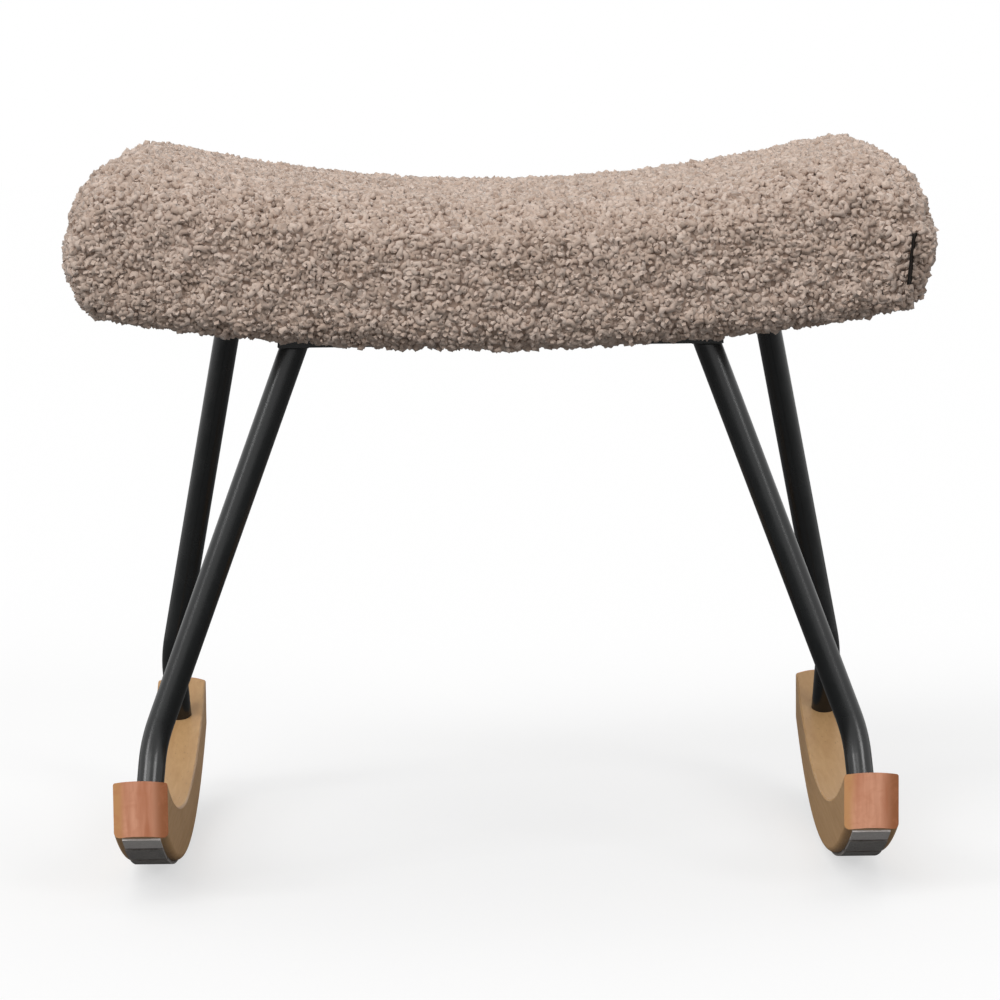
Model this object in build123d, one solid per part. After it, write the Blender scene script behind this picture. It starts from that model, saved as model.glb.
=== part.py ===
from build123d import *
import os
from math import asin, atan2, ceil, cos, degrees, pi, radians, sin, sqrt, tan

# A rocking footstool, in millimetres. +Z is up, +X to the sitter's right, the front faces -Y.
# The origin lies on the floor, under the middle of the stool.

# ---------------------------------------------------------------- rockers
rocker_length = 370.0          # front tip to rear tip
rocker_width = 31.5
rocker_x = 211.0               # middle plane of a rocker from the middle of the stool
floor_radius = 415.0           # radius that the stool rolls on, measured on the felt
rocker_mid_thickness = 32.5    # wood at the middle of the rocker
end_face_height = 32.5         # at the middle of a tip
tip_sagitta = 4.0              # how far the middle of an end face stands out
lower_edge_round = 3.5
upper_edge_round = 1.2

# ---------------------------------------------------------------- felt under the rockers
felt_thickness = 2.2
felt_width = 22.0
pressed_flat = 0.3             # depth of the flat where the felt is pressed on the floor
strip_setback = 58.0           # the long strip's end, short of the rocker's tip
felt_gap = 5.0                 # between the strip and the short felt
end_felt_length = 31.5
tip_pad_length = 18.3
tip_pad_thickness = 1.2
tip_pad_gap = 0.6

# ---------------------------------------------------------------- legs
tube_diameter = 16.0
tube_wall = 1.5
tube_bend_radius = 65.0
socket_depth = 18.0
socket_clearance = 0.15
foot_setback = 41.0            # where a leg enters the rocker, short of its tip
front_foot_inset = 2.2         # foot's middle, inwards from the rocker's middle plane
rear_foot_inset = 0.4
front_foot_lean = -4.6         # degrees sideways from upright, going up; positive leans outwards
rear_foot_lean = 2.8
front_knee_rise = 31.0         # height of the bend above the rocker's top
rear_knee_rise = 40.5
front_top_x = 121.0
rear_top_x = 171.0

# ---------------------------------------------------------------- leg fixings
plug_length = 22.0
bolt_diameter = 6.0
thread_clearance = 0.1         # on the radius, between a bolt and its thread
hole_clearance = 0.3           # on the radius, between a bolt and a plain hole
bolt_head_diameter = 10.0
bolt_head_height = 3.6
hex_key_width = 4.0
hex_key_depth = 2.2
washer_diameter = 12.5
washer_thickness = 1.2
counterbore_clearance = 0.6
counterbore_depth = 6.4
rocker_bolt_grip = 14.0        # length of thread in the plug

# ---------------------------------------------------------------- rails under the seat
rail_underside = 322.2         # height of the rails' lower faces above the floor
rail_width = 26.0
rail_thickness = 5.0
rail_to_hem = 3.0              # a cross rail's edge, inwards from the cover's hem
side_rail_x = 62.0
rail_end_margin = 0.5          # how far a rail's end stands out past its leg

# ---------------------------------------------------------------- seat board
board_thickness = 12.0
board_inset = 26.0             # board's edge, inwards from the cushion's outside
board_corner = 25.0
board_rise = 23.0              # how far the underside climbs from the middle to the seat's ends
seat_clearance = 0.3           # dust cover above the rails, at the middle
dust_cover_thickness = 0.8
dust_cover_gap = 0.05          # between the dust cover and the board
dust_cover_clearance = 0.5
seat_bolt_inset = 43.0         # bolts, inwards from the ends of the side rails
seat_bolt_head_height = 3.3
spacer_diameter = 20.0
tee_nut_barrel = 8.0
tee_nut_flange = 18.0
tee_nut_flange_thickness = 1.5
tee_nut_end_gap = 1.5          # board left below the barrel

# ---------------------------------------------------------------- cushion
cushion_width = 504.0
cushion_depth = 352.0
cushion_mid_thickness = 85.6   # cover to cover at the middle
cushion_top_rise = 37.0        # how far the top climbs from the middle to the ends
crown_drop = 4.5               # how far the crown falls to the front, the rounding apart
side_pinch = 3.0               # how far the ends draw in between the corners
end_bulge = 4.6
top_corner_radius = 33.0
bottom_corner_radius = 21.0
top_reach = 65.0               # the top rounds down over this depth, to the front and rear faces
top_fall = 20.3                # how far it falls there
side_fall = 9.2                # how far the ends draw in over the same depth
bottom_reach = 19.0            # the underside rounds up over this depth
bottom_lift = 11.5
cover_thickness = 4.0
hem_width = 22.0
seam_inset = 15.0              # seam between the wrap and an end panel, inwards from the end

# ---------------------------------------------------------------- staples and tag
staple_crown = 10.0
staple_leg = 7.0
staple_wire = 0.8
staple_pitch = 42.0
tag_height = 29.0
tag_reach = 9.0                # how far the tag stands out of the seam
tag_root = 6.0                 # how far it is sewn in
tag_thickness = 1.0
tag_rise = 31.0                # the tag's lower end above the board's underside

# ---------------------------------------------------------------- values that follow
half_rocker = rocker_length / 2
strip_reach = half_rocker - strip_setback
foot_y = half_rocker - foot_setback
front_foot_x = rocker_x - front_foot_inset
rear_foot_x = rocker_x - rear_foot_inset
tube_radius = tube_diameter / 2
bore_radius = tube_radius - tube_wall
bolt_radius = bolt_diameter / 2
roll_centre = floor_radius - pressed_flat
wood_radius = floor_radius - felt_thickness
rocker_tip_top = roll_centre - sqrt(wood_radius ** 2 - half_rocker ** 2) + end_face_height
rail_top = rail_underside + rail_thickness
board_underside = rail_top + seat_clearance + dust_cover_thickness
half_width = cushion_width / 2
half_depth = cushion_depth / 2
board_length = cushion_width - 2 * board_inset
board_depth = cushion_depth - 2 * board_inset
rail_y = board_depth / 2 - hem_width - rail_to_hem - rail_width / 2
seat_bolt_y = rail_y - rail_width / 2 - seat_bolt_inset
seam_x = half_width - seam_inset
tag_bottom = board_underside + tag_rise
cushion_top = board_underside - cover_thickness + cushion_mid_thickness


def arc_radius(half_chord, rise):
    """Radius of an arc that climbs by rise over half its chord."""
    return (half_chord ** 2 + rise ** 2) / (2 * rise)


def climb(radius, distance):
    """Height of an arc above its lowest point, at a distance from the middle."""
    return radius - sqrt(radius ** 2 - distance ** 2)


rocker_top_mid = roll_centre - wood_radius + rocker_mid_thickness
rocker_top_radius = arc_radius(half_rocker, rocker_tip_top - rocker_top_mid)
board_radius = arc_radius(half_width, board_rise)
top_radius = arc_radius(half_width, cushion_top_rise)

written = []


def save(name, shape):
    """Write one sub-part to its own file."""
    export_step(shape, "parts/" + name + ".step")
    written.append(name)


def solid_of(shape):
    """The one solid in a result that should hold one."""
    solids = shape.solids()
    if len(solids) != 1:
        raise ValueError("expected one solid, found %d" % len(solids))
    return solids[0]


def group(shapes):
    """Separate solids that share one file."""
    return Compound(children=[solid_of(shape) for shape in shapes])


def ring(outer, inner, height):
    """A washer-like ring that stands on the local origin."""
    base = (Align.CENTER, Align.CENTER, Align.MIN)
    return Cylinder(outer, height, align=base) - Cylinder(inner, height, align=base)


# ================================================================ rockers and felt
def rocker_top(distance):
    """Height of a rocker's upper face at a distance from the middle."""
    return rocker_top_mid + climb(rocker_top_radius, distance)


def long_edges(body, lower):
    """The two long curved edges along the underside or along the top of a rocker."""
    edges = [e for e in body.edges() if e.length > 0.9 * rocker_length]
    edges.sort(key=lambda e: e.center().Z)
    return edges[:2] if lower else edges[-2:]


def rocker_blank():
    """Side outline of a rocker, given its width, then trimmed to ends that stand out in an arc."""
    reach = half_rocker + tip_sagitta
    tip_bottom = roll_centre - sqrt(wood_radius ** 2 - reach ** 2)
    tip_top = rocker_top(reach)
    low_left, low_right = (-reach, tip_bottom), (reach, tip_bottom)
    high_left, high_right = (-reach, tip_top), (reach, tip_top)
    outline = [
        ThreePointArc(low_left, (0, roll_centre - wood_radius), low_right),
        Line(low_right, high_right),
        ThreePointArc(high_right, (0, rocker_top_mid), high_left),
        Line(high_left, low_left),
    ]
    side = Plane.YZ * make_face(outline)
    body = extrude(side, amount=rocker_width / 2, both=True)
    body = fillet(long_edges(body, lower=True), lower_edge_round)
    body = fillet(long_edges(body, lower=False), upper_edge_round)
    corner_y = half_rocker - tip_sagitta
    half = rocker_width / 2
    plan = [
        Line((-half, -corner_y), (-half, corner_y)),
        ThreePointArc((-half, corner_y), (0, half_rocker), (half, corner_y)),
        Line((half, corner_y), (half, -corner_y)),
        ThreePointArc((half, -corner_y), (0, -half_rocker), (-half, -corner_y)),
    ]
    return body & extrude(make_face(plan), amount=2 * rocker_tip_top)


def arc_band(thickness, near, far, width):
    """A band of felt on the rocker's underside, between two distances from the middle."""
    outer = wood_radius + thickness

    def point(radius, distance):
        angle = asin(distance / floor_radius)
        return (radius * sin(angle), roll_centre - radius * cos(angle))

    middle = (near + far) / 2
    outline = [
        ThreePointArc(point(outer, near), point(outer, middle), point(outer, far)),
        Line(point(outer, far), point(wood_radius, far)),
        ThreePointArc(point(wood_radius, far), point(wood_radius, middle), point(wood_radius, near)),
        Line(point(wood_radius, near), point(outer, near)),
    ]
    band = extrude(Plane.YZ * make_face(outline), amount=width / 2, both=True)
    above_floor = Box(2 * width, 2 * rocker_length, rocker_tip_top,
                      align=(Align.CENTER, Align.CENTER, Align.MIN))
    return band & above_floor


# ================================================================ legs
class Leg:
    """One leg's axis: its foot in the rocker, its bend and its top under the rail."""

    def __init__(self, front, side):
        sign_y = -1 if front else 1
        foot_x = front_foot_x if front else rear_foot_x
        lean = front_foot_lean if front else rear_foot_lean
        knee_rise = front_knee_rise if front else rear_knee_rise
        top_x = front_top_x if front else rear_top_x
        self.name = ("front_" if front else "rear_") + ("left" if side < 0 else "right") + "_leg"
        self.foot = Vector(side * foot_x, sign_y * foot_y, rocker_top(foot_y))
        # Square to the curved top of the rocker, seen from the side, with a little sideways lean.
        tilt = asin(foot_y / rocker_top_radius)
        self.up = Vector(side * tan(radians(lean)), -sign_y * tan(tilt), 1).normalized()
        self.knee = self.foot + self.up * (knee_rise / self.up.Z)
        self.top = Vector(side * top_x, sign_y * rail_y, rail_underside)
        self.plane = Plane(origin=self.foot, x_dir=(1, 0, 0), z_dir=self.up)
        # Distance down the axis from the rocker's top to its underside.
        y, z = self.foot.Y, self.foot.Z - roll_centre
        along = y * self.up.Y + z * self.up.Z
        square = self.up.Y ** 2 + self.up.Z ** 2
        free = along ** 2 - square * (y ** 2 + z ** 2 - wood_radius ** 2)
        self.depth = (along + sqrt(free)) / square

    def tube(self, radius):
        """The tube's outside or bore, from the bottom of its socket to past the rail."""
        bottom = self.foot - self.up * socket_depth
        rise = (self.top - self.knee).normalized()
        path = FilletPolyline(bottom, self.knee, self.top + rise * tube_diameter,
                              radius=tube_bend_radius)
        start = Plane(origin=bottom, z_dir=self.up)
        rod = sweep(start * Circle(radius), path=path)
        span = 4 * rocker_x
        below = Pos(0, 0, rail_underside - span / 2) * Box(span, span, span)
        return rod & below


legs = [Leg(front, side) for front in (True, False) for side in (-1, 1)]


def leg_parts(leg):
    """Tube, plug, bolt and washer of one leg."""
    tube = leg.tube(tube_radius) - leg.tube(bore_radius)
    plug = ring(bore_radius, bolt_radius + thread_clearance, plug_length)
    plug = leg.plane * Pos(0, 0, -socket_depth) * plug
    seat = counterbore_depth - leg.depth
    washer = leg.plane * Pos(0, 0, seat - washer_thickness) * ring(
        washer_diameter / 2, bolt_radius + hole_clearance, washer_thickness)
    bolt = leg.plane * Pos(0, 0, seat - washer_thickness) * socket_bolt(
        washer_thickness - seat - socket_depth + rocker_bolt_grip, bolt_head_height)
    return tube, plug, bolt, washer


def socket_bolt(shank, head_height):
    """A bolt whose head hangs below the local origin and whose shank stands above it."""
    base = (Align.CENTER, Align.CENTER, Align.MIN)
    bolt = Cylinder(bolt_radius, shank, align=base)
    bolt += Pos(0, 0, -head_height) * Cylinder(bolt_head_diameter / 2, head_height, align=base)
    key = extrude(RegularPolygon(hex_key_width / 2, 6, major_radius=False), amount=hex_key_depth)
    return bolt - Pos(0, 0, -head_height) * key


def fixing_cuts(leg):
    """Socket, bolt hole and counterbore that one leg needs in its rocker."""
    base = (Align.CENTER, Align.CENTER, Align.MIN)
    socket = Pos(0, 0, -socket_depth) * Cylinder(
        tube_radius + socket_clearance, 2 * socket_depth, align=base)
    hole = Pos(0, 0, -leg.depth) * Cylinder(
        bolt_radius + hole_clearance, leg.depth, align=base)
    counterbore = Pos(0, 0, counterbore_depth - leg.depth) * Cylinder(
        washer_diameter / 2 + counterbore_clearance, 2 * counterbore_depth,
        align=(Align.CENTER, Align.CENTER, Align.MAX))
    return leg.plane * (socket + hole + counterbore)


def make_rockers():
    """Both rockers with their sockets, and the felt under them."""
    blank = rocker_blank()
    end_near = strip_reach + felt_gap
    end_far = end_near + end_felt_length
    pad_near = end_far + tip_pad_gap
    pad_far = pad_near + tip_pad_length
    for side, label in ((-1, "left"), (1, "right")):
        rocker = Pos(side * rocker_x, 0, 0) * blank
        for leg in legs:
            if leg.foot.X * side > 0:
                rocker -= fixing_cuts(leg)
        save(label + "_rocker", solid_of(rocker))
        place = Pos(side * rocker_x, 0, 0)
        strip = arc_band(felt_thickness, -strip_reach, strip_reach, felt_width)
        save(label + "_floor_strip", solid_of(place * strip))
        ends, pads = [], []
        for sign in (-1, 1):
            ends.append(place * arc_band(felt_thickness, *sorted((sign * end_near, sign * end_far)),
                                         felt_width))
            pads.append(place * arc_band(tip_pad_thickness,
                                         *sorted((sign * pad_near, sign * pad_far)), felt_width))
        save(label + "_end_felts", group(ends))
        save(label + "_tip_pads", group(pads))


def make_legs():
    """Four bent tubes with their plugs, bolts and washers."""
    plugs, bolts, washers = [], [], []
    for leg in legs:
        tube, plug, bolt, washer = leg_parts(leg)
        save(leg.name, solid_of(tube))
        plugs.append(plug)
        bolts.append(bolt)
        washers.append(washer)
    save("leg_plugs", group(plugs))
    save("rocker_bolts", group(bolts))
    save("rocker_washers", group(washers))


# ================================================================ rails
bolt_places = [(x, y) for x in (-side_rail_x, side_rail_x) for y in (-seat_bolt_y, seat_bolt_y)]


def make_rails():
    """Two cross rails on the leg tops and two side rails between them."""
    flat = (Align.CENTER, Align.CENTER, Align.MIN)
    hole = Pos(0, 0, rail_underside) * Cylinder(
        bolt_radius + hole_clearance, rail_thickness, align=flat)
    for name, sign, leg in (("front", -1, legs[0]), ("rear", 1, legs[2])):
        rise = (leg.top - leg.knee).normalized()
        lean = atan2(abs(rise.X), rise.Z)
        half_length = abs(leg.top.X) + tube_radius / cos(lean) + rail_end_margin
        rail = Pos(0, sign * rail_y, rail_underside) * Box(
            2 * half_length, rail_width, rail_thickness, align=flat)
        save(name + "_cross_rail", solid_of(rail))
    side_length = 2 * rail_y - rail_width
    for label, side in (("left", -1), ("right", 1)):
        rail = Pos(side * side_rail_x, 0, rail_underside) * Box(
            rail_width, side_length, rail_thickness, align=flat)
        for x, y in bolt_places:
            if x * side > 0:
                rail -= Pos(x, y, 0) * hole
        save(label + "_side_rail", solid_of(rail))


# ================================================================ seat board and its fixings
def curved_plate(lift, thickness, length):
    """A plate that follows the board's curve, lifted from the board's underside."""
    reach = length / 2
    low, high = board_underside + lift, board_underside + lift + thickness
    below = climb(board_radius - lift, reach)
    above = climb(board_radius - lift - thickness, reach)
    outline = [
        ThreePointArc((-reach, low + below), (0, low), (reach, low + below)),
        Line((reach, low + below), (reach, high + above)),
        ThreePointArc((reach, high + above), (0, high), (-reach, high + above)),
        Line((-reach, high + above), (-reach, low + below)),
    ]
    return extrude(Plane.XZ * make_face(outline), amount=cushion_depth, both=True)


def upright_prism(length, depth, corner):
    """A rounded rectangle in plan, from below the rails to inside the foam."""
    height = board_rise + board_thickness + cushion_mid_thickness / 2
    plan = RectangleRounded(length, depth, corner)
    return Pos(0, 0, rail_underside) * extrude(plan, amount=height)


def board_blank():
    """The bent board without its holes."""
    return curved_plate(0, board_thickness, cushion_width) & upright_prism(
        board_length, board_depth, board_corner)


def hem_opening(clearance):
    """Plan of the opening inside the cover's hem."""
    shrink = 2 * (hem_width + clearance)
    return upright_prism(board_length - shrink, board_depth - shrink, board_corner)


def tee_nut():
    """A tee nut whose flange lies on the board, as it stands at a bolt place."""
    flat = (Align.CENTER, Align.CENTER, Align.MIN)
    top = board_underside + climb(board_radius, side_rail_x) + board_thickness
    barrel_length = board_thickness - tee_nut_end_gap
    nut = Pos(0, 0, top - barrel_length) * Cylinder(
        tee_nut_barrel / 2, barrel_length, align=flat)
    nut += Pos(0, 0, top - tee_nut_flange_thickness) * Cylinder(
        tee_nut_flange / 2, tee_nut_flange_thickness, align=flat)
    bore = Pos(0, 0, top - barrel_length) * Cylinder(
        bolt_radius + thread_clearance, barrel_length, align=flat)
    return nut - bore, nut, top


def make_board():
    """The board, its dust cover and what bolts it to the rails."""
    flat = (Align.CENTER, Align.CENTER, Align.MIN)
    nut, nut_space, nut_top = tee_nut()
    board = board_blank()
    dust_cover = curved_plate(-dust_cover_thickness, dust_cover_thickness - dust_cover_gap,
                              cushion_width)
    dust_cover = dust_cover & hem_opening(dust_cover_clearance)
    spacer_blank = Pos(0, 0, rail_top) * Cylinder(spacer_diameter / 2, board_thickness, align=flat)
    above_spacers = curved_plate(-dust_cover_thickness, 2 * board_thickness, cushion_width)
    hole = Pos(0, 0, rail_underside) * Cylinder(
        bolt_radius + hole_clearance, nut_top - rail_underside, align=flat)
    head_plane = rail_underside - washer_thickness
    shank = nut_top - tee_nut_flange_thickness - head_plane
    nuts, bolts, washers, spacers = [], [], [], []
    for x, y in bolt_places:
        place = Pos(x, y, 0)
        board = board - place * nut_space - place * hole
        dust_cover -= place * hole
        spacers.append((place * spacer_blank - above_spacers) - place * hole)
        nuts.append(place * nut)
        bolts.append(Pos(x, y, head_plane) * socket_bolt(shank, seat_bolt_head_height))
        washers.append(Pos(x, y, head_plane) * ring(
            washer_diameter / 2, bolt_radius + hole_clearance, washer_thickness))
    save("seat_board", solid_of(board))
    save("dust_cover", solid_of(dust_cover))
    save("tee_nuts", group(nuts))
    save("seat_bolts", group(bolts))
    save("seat_washers", group(washers))
    save("seat_spacers", group(spacers))
    return [Pos(x, y, 0) * nut_space for x, y in bolt_places]


# ================================================================ cushion
def corner_arc(reach, height, slope, radius, upper):
    """Ends and middle of the arc that rounds a corner between an end and the top or underside."""
    turn = pi / 2 + slope if upper else pi / 2 - slope
    sign = -1 if upper else 1
    length = radius * tan(turn / 2)
    on_end = (reach, height + sign * length)
    inner = (reach - length * cos(slope), height - length * sin(slope))
    middle = (reach - radius + radius * cos(turn / 2), on_end[1] - sign * radius * sin(turn / 2))
    return on_end, middle, inner


def mirrored(point):
    return (-point[0], point[1])


def rounding(y, reach, skin):
    """How far a rounding has turned: 0 where the cushion is straight, 1 at its face."""
    past = (abs(y) - (half_depth - reach)) / (reach - skin)
    return 1 - sqrt(1 - min(max(past, 0), 1) ** 2)


def cushion_section(y, skin):
    """Outline of the cushion square to Y, with skin taken off all round."""
    across = y / half_depth
    fall = (top_fall - skin) * rounding(y, top_reach, skin)
    inset = (side_fall - skin) * rounding(y, top_reach, skin)
    lift = (bottom_lift - skin) * rounding(y, bottom_reach, skin)
    reach = half_width - side_pinch * (1 - across ** 2) - skin - inset
    top_mid = cushion_top - skin - crown_drop * across ** 2 - fall
    low_mid = board_underside - cover_thickness + skin + lift
    corners = []
    for base, curve, radius, upper in (
            (low_mid, board_radius, bottom_corner_radius - skin - lift / 2, False),
            (top_mid, top_radius, top_corner_radius - skin - fall / 6, True)):
        slope = asin(reach / curve)
        end, middle, inner = corner_arc(reach, base + climb(curve, reach), slope, radius, upper)
        inner = (inner[0], base + climb(curve, inner[0]))
        corners.append((end, middle, inner))
    (low_end, low_middle, low_inner), (top_end, top_middle, top_inner) = corners
    bulge = (reach + end_bulge, (low_end[1] + top_end[1]) / 2)
    outline = [
        ThreePointArc(mirrored(low_inner), (0, low_mid), low_inner),
        ThreePointArc(low_inner, low_middle, low_end),
        ThreePointArc(low_end, bulge, top_end),
        ThreePointArc(top_end, top_middle, top_inner),
        ThreePointArc(top_inner, (0, top_mid), mirrored(top_inner)),
        ThreePointArc(mirrored(top_inner), mirrored(top_middle), mirrored(top_end)),
        ThreePointArc(mirrored(top_end), mirrored(bulge), mirrored(low_end)),
        ThreePointArc(mirrored(low_end), mirrored(low_middle), mirrored(low_inner)),
    ]
    return Plane.XZ.offset(-y) * make_face(outline)


def cushion_body(skin):
    """The crowned saddle, as a loft of sections from the rear face to the front face."""
    straight = half_depth - top_reach
    rows = [straight * share for share in (0, 0.5, 1)]
    for angle in (15, 30, 45, 60, 75, 90):
        rows.append(straight + (top_reach - skin) * sin(radians(angle)))
    rows = [-y for y in reversed(rows[1:])] + rows
    return loft([cushion_section(y, skin) for y in rows], ruled=True)


def side_tag():
    """The folded tag in the right front seam."""
    face_y = -half_depth
    return Pos(seam_x + tag_thickness / 2, face_y + (tag_root - tag_reach) / 2,
               tag_bottom + tag_height / 2) * Box(tag_thickness, tag_root + tag_reach, tag_height)


def make_cushion(nut_spaces):
    """Foam, cover panels and tag."""
    inner = cushion_body(cover_thickness)
    outer = cushion_body(0)
    recess = curved_plate(-cover_thickness, cover_thickness + board_thickness, cushion_width)
    foam = inner - (recess & upright_prism(board_length, board_depth, board_corner))
    for space in nut_spaces:
        foam -= space
    tag = side_tag()
    save("foam_block", solid_of(foam - tag))
    cover = (outer - inner) - hem_opening(0)
    slab = Box(2 * seam_x, 2 * cushion_depth, 4 * cushion_top)
    save("cover_wrap", solid_of(cover & slab))
    for label, side in (("left", -1), ("right", 1)):
        end_space = Pos(side * (seam_x + half_width), 0, 0) * Box(
            2 * half_width, 2 * cushion_depth, 4 * cushion_top)
        end = cover & end_space
        if side > 0:
            end -= tag
        save(label + "_cover_end", solid_of(end))
    save("side_tag", tag.solid())


# ================================================================ staples
def staple():
    """A staple below the local origin's plane with its legs up."""
    flat = (Align.CENTER, Align.CENTER, Align.MIN)
    body = Box(staple_crown, staple_wire, staple_wire, align=flat)
    for side in (-1, 1):
        x = side * (staple_crown - staple_wire) / 2
        body += Pos(x, 0, 0) * Box(staple_wire, staple_wire, staple_leg, align=flat)
    return body


def make_staples():
    """A row of staples round the middle of the hem."""
    one = staple()
    reach_x = board_length / 2 - hem_width / 2
    reach_y = board_depth / 2 - hem_width / 2
    placed = []
    across = 2 * ceil((reach_x - board_corner) / staple_pitch) + 1
    along = 2 * ceil((reach_y - board_corner) / staple_pitch) + 1
    hem_underside = board_underside - cover_thickness
    for count, reach, edge, turned in ((across, reach_x, reach_y, False),
                                       (along, reach_y, reach_x, True)):
        half = count // 2
        step = (reach - board_corner) / half
        for index in range(-half, half + 1):
            for side in (-1, 1):
                x, y = (side * edge, index * step) if turned else (index * step, side * edge)
                slope = degrees(asin(x / board_radius))
                height = hem_underside + climb(board_radius, x)
                turn = Rot(0, 0, 90) if turned else Rot(0, 0, 0)
                placed.append(Pos(x, y, height) * Rot(0, -slope, 0) * turn * one)
    save("cover_staples", group(placed))


def main():
    os.makedirs("parts", exist_ok=True)
    make_rockers()
    make_legs()
    make_rails()
    nut_spaces = make_board()
    make_cushion(nut_spaces)
    make_staples()
    print("%d files: %s" % (len(written), ", ".join(written)))


main()
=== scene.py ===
# %% [markdown]
# # A rocking footstool
# The real stool is a saddle-shaped cushion in curly boucle on four bent black tubes, which stand in
# two curved wooden rockers. The rigid pieces arrive at their true size from the frame and only need
# finishes here. The soft pieces are made again, because cloth looks right only when it is modelled
# as cloth: the cushion, its pile of curls, the woven tag and the cloth under the seat.

# %% Load the frame
from math import asin, cos, exp, pi, radians, sin, sqrt

import bmesh
import bpy
import numpy as np
from mathutils import Matrix, Vector
from mathutils.geometry import delaunay_2d_cdt


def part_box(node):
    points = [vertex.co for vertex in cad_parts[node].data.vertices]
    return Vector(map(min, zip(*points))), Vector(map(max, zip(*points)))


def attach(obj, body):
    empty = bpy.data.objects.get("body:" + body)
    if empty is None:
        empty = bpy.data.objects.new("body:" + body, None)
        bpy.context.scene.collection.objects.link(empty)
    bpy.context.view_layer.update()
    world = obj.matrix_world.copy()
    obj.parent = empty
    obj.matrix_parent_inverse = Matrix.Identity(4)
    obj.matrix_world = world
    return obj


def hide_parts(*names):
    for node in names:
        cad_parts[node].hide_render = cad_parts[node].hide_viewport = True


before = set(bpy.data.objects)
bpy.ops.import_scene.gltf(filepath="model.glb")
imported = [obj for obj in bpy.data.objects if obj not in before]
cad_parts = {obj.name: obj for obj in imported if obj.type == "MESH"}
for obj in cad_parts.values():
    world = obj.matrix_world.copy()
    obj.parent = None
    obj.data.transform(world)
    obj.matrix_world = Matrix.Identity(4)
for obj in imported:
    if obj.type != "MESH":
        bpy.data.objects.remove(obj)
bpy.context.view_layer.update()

scene = bpy.context.scene
scene.view_settings.view_transform = "Standard"

# %% [markdown]
# ## Camera
# A long lens from a little above the seat gives the flat, catalogue-like view. It could be aimed by
# eye, but a camera solved from the stool's own edges puts every piece where the picture has it. The
# order of the turns matters: first the camera tips down, then it rolls about its own axis, and the
# whole rig swings round the stool at the end.

# %% The camera
picture_side = 1000
focal_length = 4233                 # in pixels of the picture
camera_distance, camera_height, camera_aside = 2.5857, 0.5317, -0.0009
pitch, roll, swing = 0.1211, -0.0107, 0.0065
centre_right, centre_up = 0.6, -1.2      # pixels between the lens's axis and the picture's middle

lens = bpy.data.cameras.new("camera")
lens.sensor_width = 36
lens.lens = focal_length * lens.sensor_width / picture_side
lens.shift_x, lens.shift_y = centre_right / picture_side, centre_up / picture_side
camera = bpy.data.objects.new("camera", lens)
camera.matrix_world = (
    Matrix.Rotation(-swing, 4, "Z")
    @ Matrix.Translation((camera_aside, -camera_distance, camera_height))
    @ Matrix.Rotation(pi / 2 - pitch, 4, "X")
    @ Matrix.Rotation(roll, 4, "Z")
)
scene.collection.objects.link(camera)
scene.camera = camera
print("lens", round(lens.lens, 1), "mm")

# %% [markdown]
# ## Shader and geometry trees in plain Python
# Wiring nodes by hand hides the idea under link calls. Here one small class wraps an output socket
# and overloads the operators, so that 1 - mask adds the Math node by itself, and one method makes
# any other node from its type, its settings and the values or links of its sockets.

# %% A socket with operators, and a tree that makes nodes
class Output:
    """An output socket. Python's operators on it add Math nodes."""

    def __init__(self, tree, socket):
        self.tree, self.socket = tree, socket

    def other(self, name):
        """Another output of the same node."""
        return Output(self.tree, self.socket.node.outputs[name])

    def math(self, operation, *values):
        return self.tree.add("ShaderNodeMath", {"operation": operation}, dict(enumerate(values)))

    def __add__(self, value):
        return self.math("ADD", self, value)

    def __sub__(self, value):
        return self.math("SUBTRACT", self, value)

    def __rsub__(self, value):
        return self.math("SUBTRACT", value, self)

    def __mul__(self, value):
        return self.math("MULTIPLY", self, value)

    def __truediv__(self, value):
        return self.math("DIVIDE", self, value)

    def __rtruediv__(self, value):
        return self.math("DIVIDE", value, self)

    def __pow__(self, value):
        return self.math("POWER", self, value)

    def __abs__(self):
        return self.math("ABSOLUTE", self)

    __radd__, __rmul__ = __add__, __mul__


class Tree:
    """A node tree that is built by calls."""

    def __init__(self, nodes_of):
        self.nodes, self.links = nodes_of.nodes, nodes_of.links

    def add(self, kind, settings=None, inputs=None, output=0):
        node = self.nodes.new(kind)
        for name, value in (settings or {}).items():
            if name == "stops":
                ramp = node.color_ramp.elements
                while len(ramp) < len(value):
                    ramp.new(1)
                for stop, (place, colour) in zip(ramp, value):
                    stop.position, stop.color = place, (*colour, 1)
            else:
                setattr(node, name, value)
        for name, value in (inputs or {}).items():
            for one in value if isinstance(value, list) else [value]:
                if isinstance(one, Output):
                    self.links.new(one.socket, node.inputs[name])
                else:
                    node.inputs[name].default_value = one
        return Output(self, node.outputs[output]) if node.outputs else None


print("a socket knows", sorted(n for n in vars(Output) if n.startswith("__r")))

# %% [markdown]
# Five shorthands cover most of what a finish needs: the piece's own coordinates, stretched where a
# grain runs one way, a noise on them, a ramp between two limits, a mix of two colours, and a bump.
# All are read in metres on Object coordinates, so a grain of 2 mm stays 2 mm on any piece.

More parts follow.
